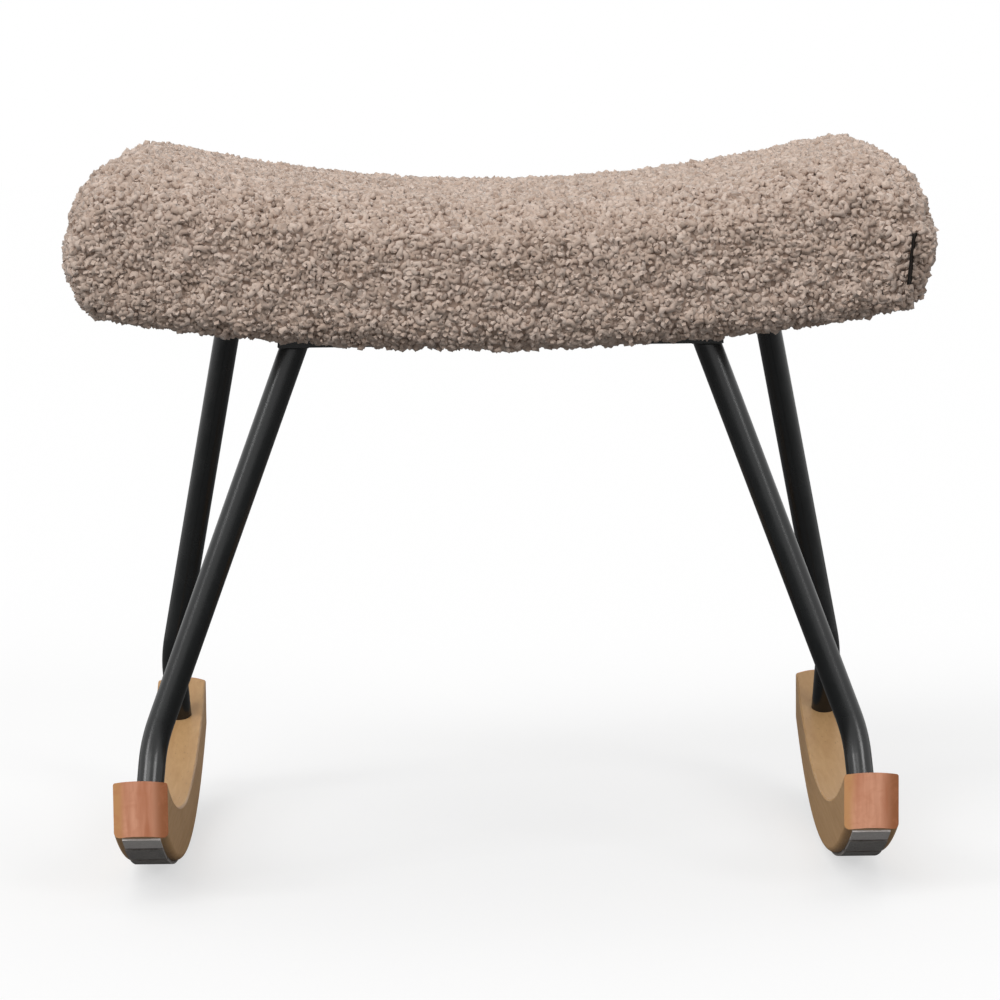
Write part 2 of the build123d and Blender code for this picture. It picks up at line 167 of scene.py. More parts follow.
# %% Shorthands for finishes
class Finish(Tree):
    """A material with one Principled shader."""

    def __init__(self, name, **constants):
        self.material = bpy.data.materials.new(name)
        self.material.use_nodes = True
        super().__init__(self.material.node_tree)
        self.shader = self.nodes["Principled BSDF"]
        for socket, value in constants.items():
            label = socket.replace("_", " ").title().replace("Ior", "IOR")
            self.shader.inputs[label].default_value = value
        self.place = self.add("ShaderNodeTexCoord", output="Object")

    def feed(self, socket, value):
        self.links.new(value.socket, self.shader.inputs[socket])

    def stretched(self, scale):
        """The piece's coordinates, scaled along X, Y and Z."""
        return self.add("ShaderNodeVectorMath", {"operation": "MULTIPLY"},
                        {0: self.place, 1: scale})

    def noise(self, size, detail=2, stretch=(1, 1, 1), roughness=0.5, distortion=0):
        """Smooth noise from 0 to 1 whose blobs are about size metres wide."""
        return self.add("ShaderNodeTexNoise", {}, {
            "Vector": self.stretched(stretch), "Scale": 1 / size, "Detail": detail,
            "Roughness": roughness, "Distortion": distortion})

    def ramp(self, value, low, high, bottom=0, top=1):
        """value carried from low..high to bottom..top, and held there outside."""
        return self.add("ShaderNodeMapRange", {"interpolation_type": "SMOOTHSTEP"}, {
            "Value": value, "From Min": low, "From Max": high, "To Min": bottom, "To Max": top})

    def mix(self, share, first, second):
        """first where share is 0, second where it is 1. Each is a colour or a socket."""
        pads = [(*c, 1) if isinstance(c, tuple) else c for c in (first, second)]
        return self.add("ShaderNodeMix", {"data_type": "RGBA"},
                        {0: share, 6: pads[0], 7: pads[1]}, output=2)

    def bump(self, height, depth):
        """A normal for a height from 0 to 1, as if it were depth metres tall."""
        return self.add("ShaderNodeBump", {}, {
            "Height": height, "Distance": depth, "Strength": 1.0})


print("finishes read coordinates in metres")

# %% [markdown]
# ## Studio
# The picture has even, soft light and a white ground. One way is to pour light on a white floor
# until it clips, but then the cushion bleaches too. Here lamps and world together give each colour
# about the level at which it is written, and white comes from the colours of floor and world.

# %% World, floor and lamps
ambient = 0.42                 # brightness of the world as light
floor_radius, floor_corners = 9.0, 96
floor_grey = 0.2               # how much light the floor throws back on the stool
floor_glow = 0.6               # share of the floor's white that no shadow darkens

world = bpy.data.worlds.new("studio")
world.use_nodes = True
scene.world = world
sky = Tree(world.node_tree)
sky.nodes.clear()
rays = sky.add("ShaderNodeLightPath", output="Is Camera Ray")
seen = rays.math("MAXIMUM", rays.other("Is Glossy Ray"), rays.other("Is Transmission Ray"))
seen = seen.math("MAXIMUM", seen, rays)
light = sky.add("ShaderNodeBackground", {}, {"Color": (1, 1, 1, 1), "Strength": ambient})
white = sky.add("ShaderNodeBackground", {}, {"Color": (1, 1, 1, 1), "Strength": 1.0})
both = sky.add("ShaderNodeMixShader", {}, {0: seen, 1: light, 2: white})
sky.add("ShaderNodeOutputWorld", {}, {"Surface": both})

floor_mesh = bpy.data.meshes.new("floor")
rim = [(floor_radius * cos(2 * pi * i / floor_corners),
        floor_radius * sin(2 * pi * i / floor_corners), 0) for i in range(floor_corners)]
floor_mesh.from_pydata(rim, [], [list(range(floor_corners))])
floor = bpy.data.objects.new("floor", floor_mesh)
scene.collection.objects.link(floor)
ground = Finish("floor", roughness=1.0, specular_ior_level=0.0, emission_strength=1.0)
camera_ray = ground.add("ShaderNodeLightPath", output="Is Camera Ray")
ground.feed("Base Color", ground.mix(camera_ray, (floor_grey,) * 3, (1 - floor_glow,) * 3))
ground.feed("Emission Color", ground.mix(camera_ray, (0, 0, 0), (floor_glow,) * 3))
floor_mesh.materials.append(ground.material)


def sun(name, strength, size, azimuth, elevation):
    """A broad lamp from a direction: azimuth 0 is behind the camera, 90 is to its right."""
    lamp = bpy.data.lights.new(name, "SUN")
    lamp.energy, lamp.angle = strength, radians(size)
    holder = bpy.data.objects.new(name, lamp)
    a, e = radians(azimuth), radians(elevation)
    towards = Vector((sin(a) * cos(e), -cos(a) * cos(e), sin(e)))
    holder.rotation_euler = towards.to_track_quat("Z", "Y").to_euler()
    scene.collection.objects.link(holder)


sun("key", 0.9, 34, -25, 44)
sun("left strip", 0.64, 19, -52, 28)
sun("right strip", 0.56, 19, 38, 26)
sun("top", 0.38, 70, -10, 80)
sun("back", 0.3, 50, 180, 60)

# %% [markdown]
# ## Finishes of the hard pieces
# The tubes wear a satin powder coat, which is never quite smooth: a fine orange peel breaks up the
# highlights. Bump alone does that, and the colour stays almost even.

# %% Black powder coat
coat = Finish("black_powder_coat", roughness=0.25, specular_ior_level=0.55)
speckle = coat.noise(0.004, detail=3)
coat.feed("Base Color", coat.mix(speckle, (0.0025, 0.0032, 0.0034), (0.0050, 0.0062, 0.0066)))
coat.feed("Roughness", coat.ramp(coat.noise(0.012, detail=4), 0.3, 0.7, 0.22, 0.28))
coat.feed("Normal", coat.bump(coat.noise(0.0011, detail=2), 0.00002))
print(coat.material.name)

# %% [markdown]
# The rockers are light hardwood under clear lacquer, with the grain along the curve. The sawn ends
# took more stain and are copper red. Their soft up-and-down bands are partly the wood's figure and
# partly painted reflection of the lamps in the lacquer. Painted light and shade also make each end
# face lighter on its left side and darker on its right. One material does the long faces and the
# ends: the ends are found from the coordinates alone, because their outline in plan is a shallow
# arc.

# %% Rocker wood
rocker_low, rocker_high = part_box("right_rocker")
rocker_x = (rocker_low.x + rocker_high.x) / 2
half_rocker_width = (rocker_high.x - rocker_low.x) / 2
half_rocker_length = rocker_high.y
tip_sagitta = 0.004            # how far the middle of an end face stands out
end_depth = 0.0006             # how deep under the end face the red stain reaches

wood = Finish("rocker_wood", roughness=0.5, specular_ior_level=0.2,
              coat_weight=0.08, coat_roughness=0.3)
across = wood.add("ShaderNodeSeparateXYZ", {}, {0: wood.place}, output="X")
along = across.other("Y")
aside = (abs(across) - rocker_x) / half_rocker_width
end_face = half_rocker_length - aside * aside * tip_sagitta
is_end = wood.ramp(abs(along) - end_face, -end_depth, -end_depth / 2)
streaks = wood.noise(0.0022, detail=5, stretch=(1, 0.035, 1), roughness=0.62, distortion=0.4)
figure = wood.noise(0.018, detail=3, stretch=(1, 0.12, 1), distortion=1.2)
pores = wood.ramp(wood.noise(0.0011, detail=2, stretch=(1, 0.09, 1)), 0.64, 0.74)
tan = wood.mix(streaks, (0.47, 0.268, 0.115), (0.62, 0.385, 0.182))
tan = wood.mix(wood.ramp(figure, 0.35, 0.7, 0, 0.45), tan, (0.43, 0.232, 0.093))
tan = wood.mix(pores * 0.35, tan, (0.24, 0.135, 0.065))
# Soft vertical bands on the end faces: partly the wood's figure, partly painted reflection of the
# lamps in the lacquer.
figure_and_painted_reflection = wood.noise(0.0075, detail=3, stretch=(1, 0.3, 0.12), roughness=0.55)
mottle = wood.noise(0.010, detail=4, distortion=2.0)
# Painted light and shade: each end face is painted lighter and more orange on its left side and
# darker on its right, as if lit from the upper left.
offset = (abs(across) - rocker_x) * across.math("SIGN", across) / half_rocker_width
red = wood.mix(wood.ramp(figure_and_painted_reflection, 0.3, 0.7), (0.52, 0.195, 0.10), (0.76, 0.375, 0.24))
# Painted light on the left side of each end face.
red = wood.mix(wood.ramp(offset + figure_and_painted_reflection * 0.3, -0.35, -0.7, 0, 0.9), red, (0.62, 0.32, 0.135))
# Painted shade on the right side of each end face.
red = wood.mix(wood.ramp(offset + figure_and_painted_reflection * 0.3, 0.45, 1.0, 0, 0.9), red, (0.35, 0.125, 0.05))
red = wood.mix(wood.ramp(mottle, 0.45, 0.75, 0, 0.35), red, (0.56, 0.215, 0.11))
wood.feed("Base Color", wood.mix(is_end, tan, red))
wood.feed("Roughness", wood.ramp(streaks, 0.2, 0.8, 0.54, 0.46) - is_end * 0.1)
wood.feed("Normal", wood.bump(streaks + pores * -0.5, 0.00005))
print("rocker middle", round(rocker_x, 4), "half width", round(half_rocker_width, 4))

# %% [markdown]
# Felt is a mat of fine fibres. Two noises do it: one for the fibres, and a wider one for the
# patches where they lie thicker. The strips are dark, and the thin pads at the tips are pale.

# %% Felt, dark and pale
def felt(name, dark, light):
    made = Finish(name, roughness=0.95, sheen_weight=0.3, sheen_roughness=0.6)
    fibres = made.noise(0.0009, detail=5, roughness=0.75, distortion=1.5)
    patches = made.noise(0.006, detail=3)
    colour = made.mix(made.ramp(fibres, 0.3, 0.7), dark, light)
    made.feed("Base Color", made.mix(made.ramp(patches, 0.35, 0.7, 0, 0.4), colour, dark))
    made.feed("Normal", made.bump(fibres, 0.0003))
    return made.material


dark_felt = felt("dark_felt", (0.085, 0.075, 0.068), (0.36, 0.325, 0.30))
pale_felt = felt("pale_felt", (0.55, 0.515, 0.49), (0.80, 0.76, 0.73))
print(dark_felt.name, pale_felt.name)

# %% [markdown]
# Small parts out of sight still deserve a true finish, because a stranger may turn the stool over:
# zinc with its cloudy spangle, bright staple wire, matt plastic plugs and bare bent plywood, whose
# edge shows its plies because the layers follow the height above the curved underside.

# %% Zinc, plastic and plywood
zinc = Finish("zinc_plate", roughness=0.34, metallic=1.0)
cloud = zinc.noise(0.003, detail=4, distortion=0.8)
zinc.feed("Base Color", zinc.mix(cloud, (0.52, 0.53, 0.54), (0.68, 0.68, 0.67)))
zinc.feed("Roughness", zinc.ramp(cloud, 0.3, 0.7, 0.28, 0.44))

plastic = Finish("black_plastic", roughness=0.6)
plastic.feed("Base Color", plastic.mix(plastic.noise(0.002), (0.014,) * 3, (0.024,) * 3))
plastic.feed("Normal", plastic.bump(plastic.noise(0.0006), 0.00005))

board_low, board_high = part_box("seat_board")
board_thickness = 0.012
board_rise = board_high.z - board_low.z - board_thickness
board_radius = (board_high.x ** 2 + board_rise ** 2) / (2 * board_rise) + board_thickness
ply_thickness = 0.0015

ply = Finish("bent_plywood", roughness=0.62)
x_place = ply.add("ShaderNodeSeparateXYZ", {}, {0: ply.place}, output="X")
sag = board_low.z + board_radius - (board_radius ** 2 - x_place * x_place) ** 0.5
layer = (x_place.other("Z") - sag) / (2 * ply_thickness)
odd_layer = ply.ramp(abs(layer.math("FRACT", layer) - 0.5), 0.2, 0.3)
grain = ply.noise(0.002, detail=5, stretch=(0.05, 1, 1), roughness=0.6)
birch = ply.mix(grain, (0.50, 0.36, 0.22), (0.68, 0.53, 0.35))
ply.feed("Base Color", ply.mix(odd_layer * 0.45, birch, (0.33, 0.21, 0.12)))
ply.feed("Normal", ply.bump(grain, 0.0001))
print("board radius", round(board_radius, 3))

# %% [markdown]
# ## The cushion
# The real cushion is foam on a bent board, in a boucle cover that is pulled round and stapled
# underneath. A plain loft looks like painted wood. So cover, foam and board are fused by a voxel
# remesh, air pressure swells the skin as foam swells its cover, and the seams hold it back.

# %% Fuse cover, foam and board into one skin
voxel = 0.005
hem_inset, skin_inset = 0.0012, 0.0052     # how far the skin starts inside the CAD cover
seam_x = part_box("cover_wrap")[1].x
board_half_x, board_half_y = board_high.x, board_high.y


def mesh_object(name, mesh):
    made = bpy.data.objects.new(name, mesh)
    scene.collection.objects.link(made)
    return made


def joined_copy(name, *nodes):
    """Copies of CAD nodes in one mesh, with their loose triangles merged."""
    blank = bmesh.new()
    for node in nodes:
        blank.from_mesh(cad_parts[node].data)
    bmesh.ops.remove_doubles(blank, verts=blank.verts, dist=1e-6)
    mesh = bpy.data.meshes.new(name)
    blank.to_mesh(mesh)
    blank.free()
    return mesh_object(name, mesh)


def apply_modifiers(piece):
    """Turn the piece's modifiers into mesh."""
    seen_mesh = bpy.data.meshes.new_from_object(
        piece.evaluated_get(bpy.context.evaluated_depsgraph_get()))
    piece.modifiers.clear()
    old, piece.data = piece.data, seen_mesh
    bpy.data.meshes.remove(old)


def points_of(mesh):
    found = np.empty(len(mesh.vertices) * 3)
    mesh.vertices.foreach_get("co", found)
    return found.reshape(-1, 3)


def normals_of(mesh):
    found = np.empty(len(mesh.vertices) * 3)
    mesh.vertex_normals.foreach_get("vector", found)
    return found.reshape(-1, 3)


def set_points(mesh, points):
    mesh.vertices.foreach_set("co", points.ravel())
    mesh.update()


cushion = joined_copy("boucle_cushion", "cover_wrap", "left_cover_end", "right_cover_end",
                      "foam_block", "seat_board")
remesh = cushion.modifiers.new("remesh", "REMESH")
remesh.mode, remesh.voxel_size = "VOXEL", voxel
apply_modifiers(cushion)
outwards = normals_of(cushion.data)
inset = np.interp(outwards[:, 2], (-0.95, -0.5), (hem_inset, skin_inset))
set_points(cushion.data, points_of(cushion.data) - outwards * inset[:, None])
print("skin", len(cushion.data.vertices), "points")

# %% [markdown]
# Pressure blows the skin out along its normals. Two groups of points don't move: what lies flat
# under the board, and the two rings of seams, which stay sewn. How far any point may go is capped,
# because a cover on firm foam swells by millimetres and not by centimetres.

# %% Swell the cover
swell_cap = 0.0028
swell_frames, air_pressure, cloth_stiffness = 20, 4, 20
seam_reach = 0.0035            # half the width of skin that a seam holds


def sag_of(x):
    """Height of the board's underside at distances from the middle."""
    return board_low.z + board_radius - np.sqrt(board_radius ** 2 - x ** 2)


def under_board(points, margin=0.0):
    """True for points in the board's outline, seen from below, up to just above its underside."""
    low = sag_of(points[:, 0])
    return ((np.abs(points[:, 0]) < board_half_x + margin)
            & (np.abs(points[:, 1]) < board_half_y + margin) & (points[:, 2] < low))


def swell(piece):
    """Blow the piece up a little, and say how far each point wanted to go."""
    rest = points_of(piece.data)
    seam = np.abs(np.abs(rest[:, 0]) - seam_x) < seam_reach
    held = piece.vertex_groups.new(name="held")
    held.add(np.flatnonzero(under_board(rest) | seam).tolist(), 1.0, "REPLACE")
    cloth = piece.modifiers.new("cloth", "CLOTH")
    cloth.settings.use_pressure = True
    cloth.settings.uniform_pressure_force = air_pressure
    cloth.settings.vertex_group_mass = held.name
    cloth.settings.effector_weights.gravity = 0
    cloth.settings.tension_stiffness = cloth_stiffness
    cloth.settings.compression_stiffness = cloth_stiffness
    cloth.point_cache.frame_start, cloth.point_cache.frame_end = 1, swell_frames
    for frame_number in range(1, swell_frames + 1):
        scene.frame_set(frame_number)
    apply_modifiers(piece)
    scene.frame_set(1)
    moved = points_of(piece.data) - rest
    far = np.linalg.norm(moved, axis=1)
    share = np.minimum(1, swell_cap / np.maximum(far, 1e-9))
    set_points(piece.data, rest + moved * share[:, None])
    piece.vertex_groups.clear()
    return far


swollen = swell(cushion)
print("swelled", round(float(np.median(swollen)) * 1000, 2), "mm, most",
      round(float(swollen.max()) * 1000, 2))

# %% [markdown]
# One subdivision rounds off the remesh's steps. After it come the shapes that the remesh would
# have wiped out: the groove of each seam, the bulge of the long faces, and the broad lumps where
# loops of pile stand thicker. A sum of sine waves in odd directions makes lumps that never repeat
# and need no random numbers.

# %% Seams and lumps
seam_depth, seam_width = 0.0016, 0.0026
face_bulge = 0.006             # how far the middle of the front and rear faces stands out
foam_half_height = 0.037       # of the long faces, beside the board's own half
lump_height, lump_size = 0.0009, 0.011
lump_directions = ((1, 0.3, 0.2), (-0.4, 1, 0.5), (0.3, -0.6, 1), (0.9, 0.8, -0.4),
                   (-0.8, 0.5, 0.9))
lump_growth = 0.37             # each direction's waves are this much longer than the first's
hem_margin = 0.004             # how far past the board's outline the skin stays flat

smooth = cushion.modifiers.new("smooth", "SUBSURF")
smooth.levels = smooth.render_levels = 1
apply_modifiers(cushion)
skin = points_of(cushion.data)
lumps = sum(np.sin(skin @ np.array(way) * 2 * pi / lump_size / (1 + lump_growth * i) + i)
            for i, way in enumerate(lump_directions)) / 2
normals = normals_of(cushion.data)
half_height = board_thickness / 2 + foam_half_height
across_face = (skin[:, 2] - sag_of(skin[:, 0]) - half_height) / half_height
bulge = face_bulge * np.clip(1 - across_face ** 2, 0, 1) * np.abs(normals[:, 1]) ** 2
groove = np.exp(-((np.abs(skin[:, 0]) - seam_x) / seam_width) ** 2)
free = ~under_board(skin, margin=hem_margin)
lift = (lumps * lump_height - groove * seam_depth + bulge) * free
set_points(cushion.data, skin + normals * lift[:, None])
print("lumps from", round(lift.min() * 1000, 2), "to", round(lift.max() * 1000, 2), "mm")

# %% [markdown]
# Underneath, the cover is turned in by a hem and stapled, and the board and its black cloth show in
# the opening. Cutting the closed cushion with two simple solids makes the pocket: the board itself,
# a little enlarged, and a block in the outline of the opening, bent like the board so that it also
# reaches the raised ends.

# %% Cut the pocket for the board
board_clearance, tool_voxel = 0.0003, 0.002
hem_width = 0.022
board_corner = 0.025
corner_steps, bend_steps = 8, 41
opening_depth = 0.02           # how far below the board the opening is cleared


def bent_block(name, half_x, half_y, corner, low, high):
    """A closed solid over a rectangle with round corners, bent like the board."""
    round_x = [half_x - corner + corner * sin(radians(90 * step / corner_steps))
               for step in range(1, corner_steps + 1)]
    flat_x = np.linspace(corner - half_x, half_x - corner, bend_steps)
    solid = bmesh.new()
    rings = []
    for x in (*[-x for x in round_x[::-1]], *flat_x, *round_x):
        past = max(0, abs(x) - (half_x - corner))
        y = half_y - corner + sqrt(max(0, corner ** 2 - past ** 2))
        z = float(sag_of(x))
        rings.append([solid.verts.new(point) for point in (
            (x, -y, z + low), (x, y, z + low), (x, y, z + high), (x, -y, z + high))])
    solid.faces.new(rings[0])
    solid.faces.new(rings[-1][::-1])
    for ring, after in zip(rings, rings[1:]):
        for i in range(4):
            j = (i + 1) % 4
            solid.faces.new((ring[i], after[i], after[j], ring[j]))
    bmesh.ops.recalc_face_normals(solid, faces=solid.faces)
    mesh = bpy.data.meshes.new(name)
    solid.to_mesh(mesh)
    solid.free()
    return mesh_object(name, mesh)


def cut(piece, tool):
    """Take tool out of piece, and throw it away."""
    boolean = piece.modifiers.new("cut", "BOOLEAN")
    boolean.operation, boolean.solver, boolean.object = "DIFFERENCE", "MANIFOLD", tool
    apply_modifiers(piece)
    bpy.data.objects.remove(tool)


board_tool = joined_copy("board_tool", "seat_board", "tee_nuts")
thicker = board_tool.modifiers.new("thicker", "REMESH")
thicker.mode, thicker.voxel_size = "VOXEL", tool_voxel
apply_modifiers(board_tool)
set_points(board_tool.data,
           points_of(board_tool.data) + normals_of(board_tool.data) * board_clearance)
cut(cushion, board_tool)
cut(cushion, bent_block("opening_tool", board_half_x - hem_width, board_half_y - hem_width,
                        board_corner, -opening_depth, board_thickness / 2))
print("cushion", len(cushion.data.vertices), "points after the cuts")

# %% [markdown]
# Boucle is woven from looped yarn, so the cover is a field of small round curls with dark gaps. A
# noise texture can't give them an outline, and the edge of a cushion shows its outline everywhere.
# A Geometry Nodes tree scatters points over the skin, sets one of several snail-like curls on each,
# turned and tilted at random, and remembers how high each bit of yarn stands for its colour.

# %% A geometry tree with named inputs
class Geometry(Tree):
    """A Geometry Nodes tree whose inputs are named sizes."""

    def __init__(self, name, **sizes):
        self.group = bpy.data.node_groups.new(name, "GeometryNodeTree")
        super().__init__(self.group)
        kinds = {float: "NodeSocketFloat", int: "NodeSocketInt",
                 bpy.types.Material: "NodeSocketMaterial"}
        face = self.group.interface
        face.new_socket("Geometry", in_out="INPUT", socket_type="NodeSocketGeometry")
        face.new_socket("Geometry", in_out="OUTPUT", socket_type="NodeSocketGeometry")
        self.sizes = sizes
        for size, value in sizes.items():
            face.new_socket(size, in_out="INPUT", socket_type=kinds[type(value)])
        self.given = self.add("NodeGroupInput", output="Geometry")

    def size(self, name):
        """The socket of one named size."""
        return self.given.other(name)

    def remember(self, geometry, name, value, domain="POINT", data_type="FLOAT"):
        """The geometry with a value stored on it under a name."""
        kind = {"data_type": data_type, "domain": domain}
        return self.add("GeometryNodeStoreNamedAttribute", kind, {
            "Geometry": geometry, "Name": name, "Value": value})

    def stored(self, name):
        """The value that is stored under a name."""
        return self.add("GeometryNodeInputNamedAttribute", {"data_type": "FLOAT"}, {"Name": name})

    def finish(self, geometry, material):
        """End in real, smooth mesh with a material."""
        real = self.add("GeometryNodeRealizeInstances", {}, {"Geometry": geometry})
        smooth = self.add("GeometryNodeSetShadeSmooth", {}, {"Geometry": real})
        dressed = self.add("GeometryNodeSetMaterial", {}, {
            "Geometry": smooth, "Material": material})
        self.add("NodeGroupOutput", {}, {"Geometry": dressed})

    def grow(self, piece):
        """Run the tree on a piece and keep the result as its mesh."""
        modifier = piece.modifiers.new(self.group.name, "NODES")
        modifier.node_group = self.group
        for socket in self.group.interface.items_tree:
            if socket.in_out == "INPUT" and socket.name in self.sizes:
                modifier[socket.identifier] = self.sizes[socket.name]
        apply_modifiers(piece)


def random_between(tree, low, high, seed):
    """A random number for each point."""
    return tree.add("FunctionNodeRandomValue", {"data_type": "FLOAT"},
                    {2: low, 3: high, "Seed": seed}, output=1)


def jitter(tree, frequency, depth, phase):
    """Offsets of up to half the depth each way, from a smooth noise."""
    noise = tree.add("ShaderNodeTexNoise", {"noise_dimensions": "4D"}, {
        "W": phase, "Scale": frequency, "Detail": 0}, output="Color")
    centred = tree.add("ShaderNodeVectorMath", {"operation": "SUBTRACT"},
                       {0: noise, 1: (0.5,) * 3})
    return tree.add("ShaderNodeVectorMath", {"operation": "MULTIPLY"},
                    {0: centred, 1: (depth,) * 3})


print("kinds of size: float, int, material")

# %% [markdown]
# The colour of the yarn follows two stored numbers. The first is a tone for each curl, mixed with a
# slow change over the seat. The second is the height in the pile, because light doesn't reach the
# roots. They also make the map in which the colours are baked, so that thousands of curls can share
# it without a seam.

# %% Boucle yarn
yarn = Finish("boucle_yarn", roughness=0.92, sheen_weight=0.25, sheen_roughness=0.5,
              specular_ior_level=0.25)
tone = yarn.add("ShaderNodeAttribute", {"attribute_name": "tone"}, output="Fac")
height = yarn.add("ShaderNodeAttribute", {"attribute_name": "height"}, output="Fac")
root = yarn.mix(tone, (0.34, 0.247, 0.194), (0.47, 0.357, 0.294))
tip = yarn.mix(tone, (0.51, 0.39, 0.315), (0.69, 0.565, 0.485))
yarn.feed("Base Color", yarn.mix(yarn.ramp(height, 0.0, 0.75), root, tip))
print(yarn.material.name)

# %% [markdown]
# Real loops of yarn all differ, but a handful of kinds is enough when each is turned, tilted and
# scaled at random. A curl is a spiral that drops from its middle, shaken by one noise, swept with a
# square profile and shaken again, so that the strand has knobs like a loosely spun yarn. It has few
# faces, because it is repeated tens of thousands of times.

# %% Kinds of curl
# turns, inner radius, outer radius, drop from the middle to the outer end, all in metres
curl_kinds = (
    (1.30, 0.0002, 0.0023, 0.0018),
    (1.05, 0.0004, 0.0024, 0.0022),
    (1.45, 0.0001, 0.0027, 0.0014),
    (0.85, 0.0008, 0.0020, 0.0026),
    (1.15, 0.0003, 0.0021, 0.0028),
)
curl_points, strand_sides = 6, 4
shake_frequency, shake_depth, shake_step = 320, 0.0022, 3.7
knob_frequency, knob_depth, knob_step = 800, 0.0013, 1.9
sunk_share = 0.8               # of a curl's height that its outer end has lost
stand_share = 0.7              # of a curl's drop that stands above the cloth
pile = Geometry("boucle_pile", Spacing=0.0032, Density=1000000.0, Yarn_Radius=0.00145, Tilt=0.6,
                Seed=11, Yarn=yarn.material)


def curl(turns, inner, outer, drop, kind):
    """One snail of yarn: high in the middle, down into the cloth at its outer end."""
    spiral = pile.add("GeometryNodeCurveSpiral", {}, {
        "Resolution": curl_points, "Rotations": turns, "Start Radius": inner, "End Radius": outer,
        "Height": -drop})
    along = pile.add("GeometryNodeSplineParameter", output="Factor")
    spiral = pile.remember(spiral, "height", 1 - along * sunk_share)
    spiral = pile.add("GeometryNodeSetPosition", {}, {
        "Geometry": spiral,
        "Offset": jitter(pile, shake_frequency, shake_depth, kind * shake_step)})
    profile = pile.add("GeometryNodeCurvePrimitiveCircle", {}, {
        "Resolution": strand_sides, "Radius": pile.size("Yarn_Radius")})
    strand = pile.add("GeometryNodeCurveToMesh", {}, {
        "Curve": spiral, "Profile Curve": profile, "Fill Caps": True})
    strand = pile.add("GeometryNodeSetPosition", {}, {
        "Geometry": strand,
        "Offset": jitter(pile, knob_frequency, knob_depth, kind * knob_step)})
    strand = pile.add("GeometryNodeTransform", {}, {
        "Geometry": strand, "Translation": (0, 0, drop * stand_share)})
    return pile.add("GeometryNodeGeometryToInstance", {}, {"Geometry": strand})


curls = pile.add("GeometryNodeJoinGeometry", {}, {
    "Geometry": [curl(*sizes, kind) for kind, sizes in enumerate(curl_kinds)]})
print("kinds of curl", len(curl_kinds))

# %% [markdown]
# The curls stand close, but never on one another. Points with a least distance between them do
# that, which a plain random scatter doesn't. Blender thins such points in the order of the faces,
# and on a remeshed skin this leaves a grid, so the faces are shuffled first.

# %% Set the curls on the skin
smallest_curl, largest_curl = 0.8, 1.45
shuffled = pile.add("GeometryNodeSortElements", {"domain": "FACE"}, {
    "Geometry": pile.given, "Sort Weight": random_between(pile, 0.0, 1.0, pile.size("Seed"))})
dots = pile.add("GeometryNodeDistributePointsOnFaces", {"distribute_method": "POISSON"}, {
    "Mesh": shuffled, "Distance Min": pile.size("Spacing"), "Density Max": pile.size("Density"),
    "Density Factor": pile.stored("pile"), "Seed": pile.size("Seed")})
seed = pile.size("Seed")
spin = pile.add("ShaderNodeCombineXYZ", {}, {
    "X": random_between(pile, -1.0, 1.0, seed) * pile.size("Tilt"),
    "Y": random_between(pile, -1.0, 1.0, seed + 1) * pile.size("Tilt"),
    "Z": random_between(pile, -pi, pi, seed + 2)})
turn = pile.add("FunctionNodeRotateRotation", {"rotation_space": "LOCAL"}, {
    "Rotation": dots.other("Rotation"),
    "Rotate By": pile.add("FunctionNodeEulerToRotation", {}, {"Euler": spin})})
which = pile.add("FunctionNodeRandomValue", {"data_type": "INT"}, {
    4: 0, 5: len(curl_kinds) - 1, "Seed": seed + 3}, output=2)
field = pile.add("GeometryNodeInstanceOnPoints", {}, {
    "Points": dots, "Instance": curls, "Pick Instance": True, "Instance Index": which,
    "Rotation": turn, "Scale": random_between(pile, smallest_curl, largest_curl, seed + 4)})
print("curls stand", pile.sizes["Spacing"] * 1000, "mm apart")

# %% [markdown]
# Each curl gets its tone here, and the cloth between the curls gets the slow change alone and a
# height near zero. Both numbers are then copied into a map, one along each of its axes.

# %% Tone and height
patch_frequency, patch_share = 38.0, 0.6
own_share, tone_shift = 0.75, 0.17
lowest_tone, highest_tone = 0.02, 0.98
cloth_height = 0.02
patch = pile.add("ShaderNodeTexNoise", {}, {"Scale": patch_frequency, "Detail": 2})
curl_tone = random_between(pile, 0.0, own_share, seed + 5) + patch * patch_share - tone_shift
curl_tone = curl_tone.math("MAXIMUM", curl_tone, lowest_tone)
curl_tone = curl_tone.math("MINIMUM", curl_tone, highest_tone)
field = pile.remember(field, "tone", curl_tone, domain="INSTANCE")
cloth = pile.remember(pile.given, "tone", patch)
cloth = pile.remember(cloth, "height", cloth_height)
everything = pile.add("GeometryNodeRealizeInstances", {}, {
    "Geometry": pile.add("GeometryNodeJoinGeometry", {}, {"Geometry": [field, cloth]})})
chart = pile.add("ShaderNodeCombineXYZ", {}, {"X": pile.stored("tone"), "Y": pile.stored("height")})
everything = pile.remember(everything, "OFBake", chart, domain="CORNER", data_type="FLOAT2")
pile.finish(everything, pile.size("Yarn"))
print("tree", pile.group.name, "has", len(pile.nodes), "nodes")

# %% [markdown]
# The pile is thick outside, trodden flat on the hem, and absent where the board lies against the
# skin. That share is stored on the skin's points, and the tree reads it as a density.

# %% Grow the pile
hem_pile = 0.45
edge_margin = 0.002            # past the board's outline, where the hem still lies flat
pocket_margin, pocket_height = 0.001, 0.004

skin = points_of(cushion.data)
where = np.ones(len(skin))
on_hem = under_board(skin, margin=edge_margin)
where[on_hem] = hem_pile
in_pocket = (
    (np.abs(skin[:, 0]) < board_half_x + pocket_margin)
    & (np.abs(skin[:, 1]) < board_half_y + pocket_margin)
    & ~on_hem & (skin[:, 2] < board_high.z + pocket_height))
where[under_board(skin, margin=-hem_width) | in_pocket] = 0
cushion.data.attributes.new("pile", "FLOAT", "POINT").data.foreach_set("value", where)
pile.grow(cushion)
print("cushion", sum(len(f.vertices) - 2 for f in cushion.data.polygons), "triangles")

